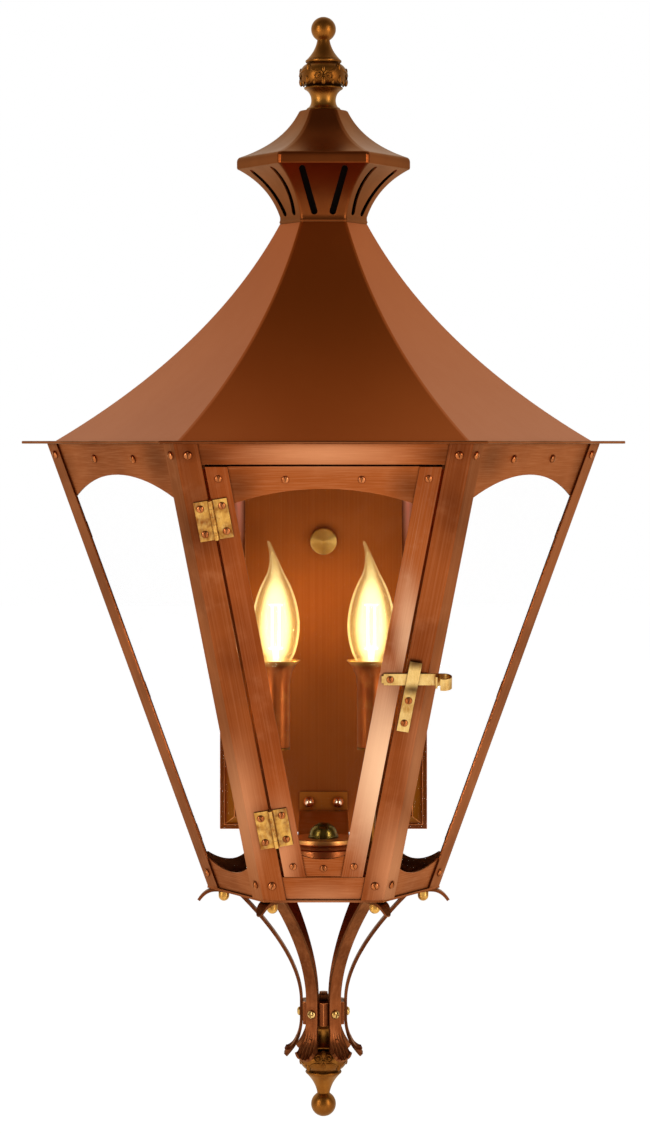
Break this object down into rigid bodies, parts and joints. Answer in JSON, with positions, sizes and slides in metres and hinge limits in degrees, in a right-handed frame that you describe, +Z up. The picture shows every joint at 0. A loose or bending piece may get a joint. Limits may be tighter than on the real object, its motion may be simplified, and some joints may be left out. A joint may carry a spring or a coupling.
{
  "type": "wall lantern",
  "caption": "Hexagonal copper wall lantern with a hinged glazed door, latch, concave vented roof, brass finials, bent legs and two candle lamps on a bevelled wall plate.",
  "frame": {"origin": "middle of the mounting bar's back face, on the wall, in front of the outlet box", "axes": "+X to the lantern's right as seen from the front, +Y into the wall, +Z up; the door faces -Y"},
  "size_m": [0.4428, 0.3917, 0.8056],
  "materials": {
    "copper": "brushed antique copper",
    "dark_copper": "dark oxidised copper",
    "brass": "lacquered brass",
    "antique_brass": "antique cast brass",
    "zinc_steel": "zinc plated",
    "clear_glass": "clear",
    "lamp_glass": "clear blown",
    "filament": "glowing",
    "black_paint": "matt",
    "socket": "matt"
  },
  "bodies": {
    "lantern": {"mounting_bar": "zinc_steel", "wall_plate": "copper", "back_panel": "copper", "mounting_knob": "brass", "support_bracket": "copper", "bracket_bolts": "brass", "eave_plate": "copper", "roof": "copper", "vent_collar": "copper", "vent_liner": "black_paint", "crown_cap": "copper", "top_finial": "antique_brass", "bottom_finial": "antique_brass", "finial_studs": "antique_brass", "post_front_right": "copper", "post_right": "copper", "post_rear_right": "copper", "post_rear_left": "copper", "post_left": "copper", "post_front_left": "copper", "front_top_rail": "copper", "front_bottom_rail": "copper", "rear_top_rail": "copper", "top_bands": "copper", "bottom_bands": "copper", "frame_screws": "copper", "side_glass": "clear_glass", "glass_clips": "copper", "floor_plate": "copper", "leg_front_right": "copper", "leg_right": "copper", "leg_rear_right": "copper", "leg_rear_left": "copper", "leg_left": "copper", "leg_front_left": "copper", "leg_bolts": "brass", "hub": "dark_copper", "hub_screws": "brass", "candle_cup": "copper", "cup_nut": "brass", "candle_arms": "brass", "candle_sleeves": "copper", "lamp_sockets": "socket", "lamp_glass": "lamp_glass", "lamp_bases": "brass", "lamp_filaments": "filament", "hinge_post_leaves": "brass", "hinge_pins": "brass", "post_screws": "dark_copper", "latch_keeper": "brass"},
    "door": {"door_stile_left": "copper", "door_stile_right": "copper", "door_top_panel": "copper", "door_bottom_panel": "copper", "door_glass": "clear_glass", "door_screws": "dark_copper", "hinge_door_leaves": "brass"},
    "latch": {"latch_bar": "brass"}
  },
  "joints": [
    {"name": "door_hinge", "type": "hinge", "parent": "lantern", "child": "door", "pos_m": [-0.05511, -0.32662, -0.08484], "axis": [0.1708, 0.2958, -0.9399], "range_deg": [0, 112]},
    {"name": "latch_pivot", "type": "hinge", "parent": "door", "child": "latch", "pos_m": [0.04619, -0.32444, -0.0861], "axis": [0, -0.9539, -0.3002], "range_deg": [0, 100]}
  ]
}
